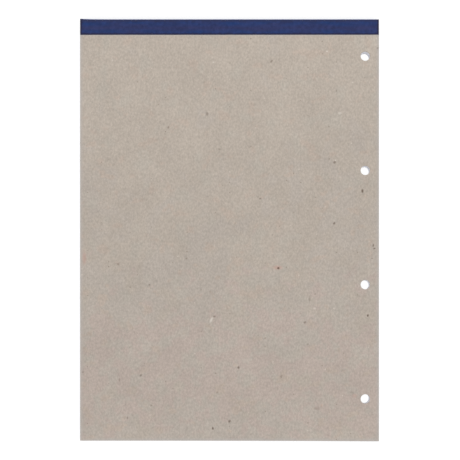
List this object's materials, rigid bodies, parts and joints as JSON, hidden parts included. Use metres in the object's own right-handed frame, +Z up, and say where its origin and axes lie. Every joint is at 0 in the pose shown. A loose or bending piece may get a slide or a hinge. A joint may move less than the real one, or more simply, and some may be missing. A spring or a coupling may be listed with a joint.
{
  "type": "graph pad",
  "caption": "Headbound A4 graph pad lying face down: greyboard back, tape folded over the head, ruled leaves, a row of punched holes down one side.",
  "frame": {"origin": "under the middle of the pad's outline, on the surface that the pad lies on face down", "axes": "+X towards the punched edge, +Y towards the bound head, +Z up, out of the backing board"},
  "size_m": [0.21, 0.2962, 0.0061],
  "materials": {
    "greyboard": "matt recycled greyboard, grey-beige with soft mottling, dark and pale flecks",
    "paper": "matt white writing paper, ruled with a fine pale blue grid",
    "tape": "navy binding tape with a faint grain and a low sheen",
    "glue": "clear cream padding glue, dried and flexible"
  },
  "bodies": {
    "root": {"backing_board": "greyboard", "sheet_block": "paper", "binding_tape": "tape", "head_glue": "glue"}
  },
  "joints": []
}
